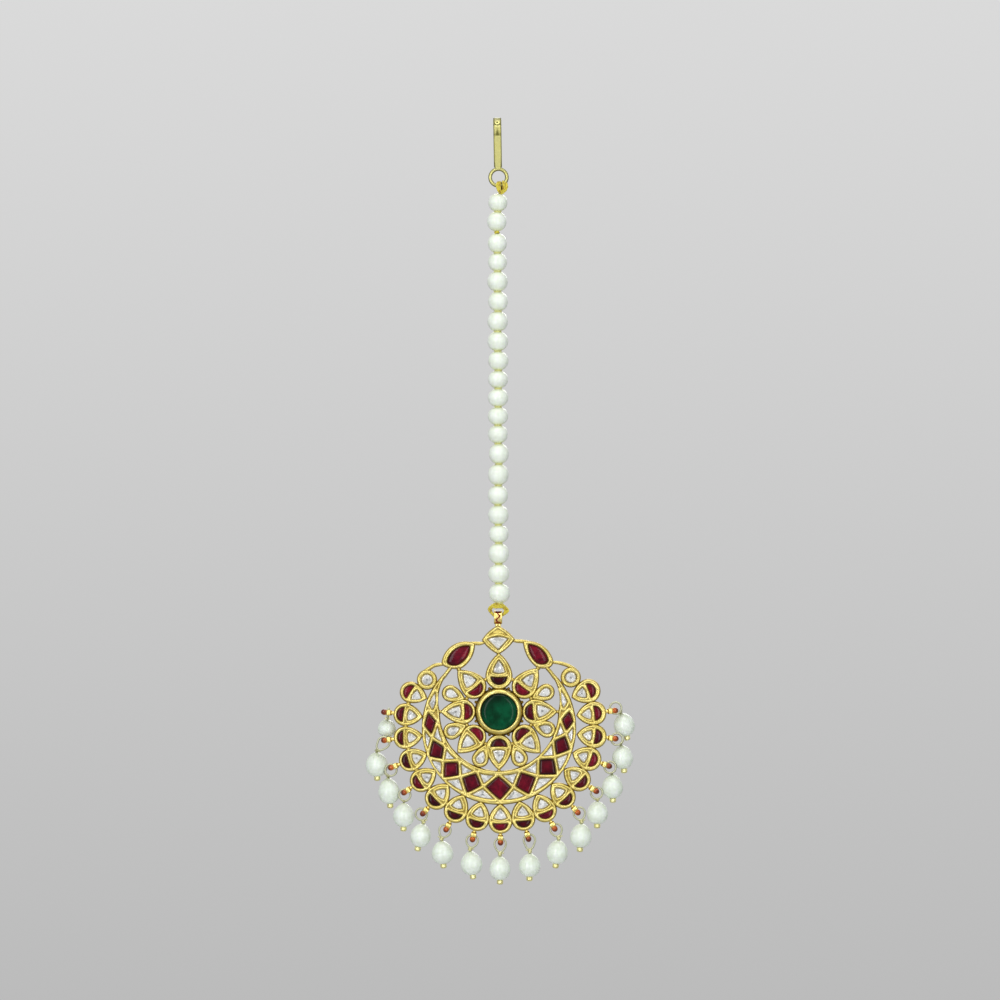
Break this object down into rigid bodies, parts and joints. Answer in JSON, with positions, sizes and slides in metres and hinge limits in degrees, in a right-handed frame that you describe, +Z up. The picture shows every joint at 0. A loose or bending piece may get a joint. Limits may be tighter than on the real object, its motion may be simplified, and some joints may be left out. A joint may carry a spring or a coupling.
{
  "type": "maang tikka",
  "caption": "Hair-parting ornament: hook, string of pearls and a gold openwork pendant with crescent, rosette, stones and pearl drops.",
  "frame": {"origin": "inside top of the hair hook's bend, where the hook rests on the hair or its pin", "axes": "+Z up along the hanging string, -Y out of the set face towards the viewer, +X to the viewer's right"},
  "size_m": [0.0562, 0.0089, 0.1601],
  "materials": {
    "gold": "soft hand-burnished high-carat gold",
    "pale_gold": "worn pale gold strip",
    "wire_gold": "dull pale gold wire",
    "thread": "twisted yellow silk thread",
    "pearl": "lustrous cream pearl",
    "emerald": "polished deep green stone",
    "ruby": "polished deep red stone over foil",
    "polki": "flat-cut diamond over silvery foil"
  },
  "bodies": {
    "string": {"hook": "pale_gold", "thread": "thread", "string_pearl_01": "pearl", "string_pearl_02": "pearl", "string_pearl_03": "pearl", "string_pearl_04": "pearl", "string_pearl_05": "pearl", "string_pearl_06": "pearl", "string_pearl_07": "pearl", "string_pearl_08": "pearl", "string_pearl_09": "pearl", "string_pearl_10": "pearl", "string_pearl_11": "pearl", "string_pearl_12": "pearl", "string_pearl_13": "pearl", "string_pearl_14": "pearl", "string_pearl_15": "pearl", "string_pearl_16": "pearl", "string_pearl_17": "pearl", "string_pearl_18": "pearl", "string_pearl_19": "pearl", "string_pearl_20": "pearl", "string_pearl_21": "pearl"},
    "pendant": {"frame": "gold", "emerald": "emerald", "inner_rubies": "ruby", "border_rubies": "ruby", "rosette_polkis": "polki", "crescent_polkis": "polki", "border_polkis": "polki", "drop_pearl_01": "pearl", "drop_wire_01": "wire_gold", "drop_pearl_02": "pearl", "drop_wire_02": "wire_gold", "drop_pearl_03": "pearl", "drop_wire_03": "wire_gold", "drop_pearl_04": "pearl", "drop_wire_04": "wire_gold", "drop_pearl_05": "pearl", "drop_wire_05": "wire_gold", "drop_pearl_06": "pearl", "drop_wire_06": "wire_gold", "drop_pearl_07": "pearl", "drop_wire_07": "wire_gold", "drop_pearl_08": "pearl", "drop_wire_08": "wire_gold", "drop_pearl_09": "pearl", "drop_wire_09": "wire_gold", "drop_pearl_10": "pearl", "drop_wire_10": "wire_gold", "drop_pearl_11": "pearl", "drop_wire_11": "wire_gold", "drop_pearl_12": "pearl", "drop_wire_12": "wire_gold", "drop_pearl_13": "pearl", "drop_wire_13": "wire_gold", "drop_pearl_14": "pearl", "drop_wire_14": "wire_gold", "drop_pearl_15": "pearl", "drop_wire_15": "wire_gold"}
  },
  "joints": [
    {"name": "pendant_swing", "type": "hinge", "parent": "string", "child": "pendant", "pos_m": [0, -0.00265, -0.10308], "axis": [1, 0, 0], "range_deg": [-80, 80]}
  ]
}
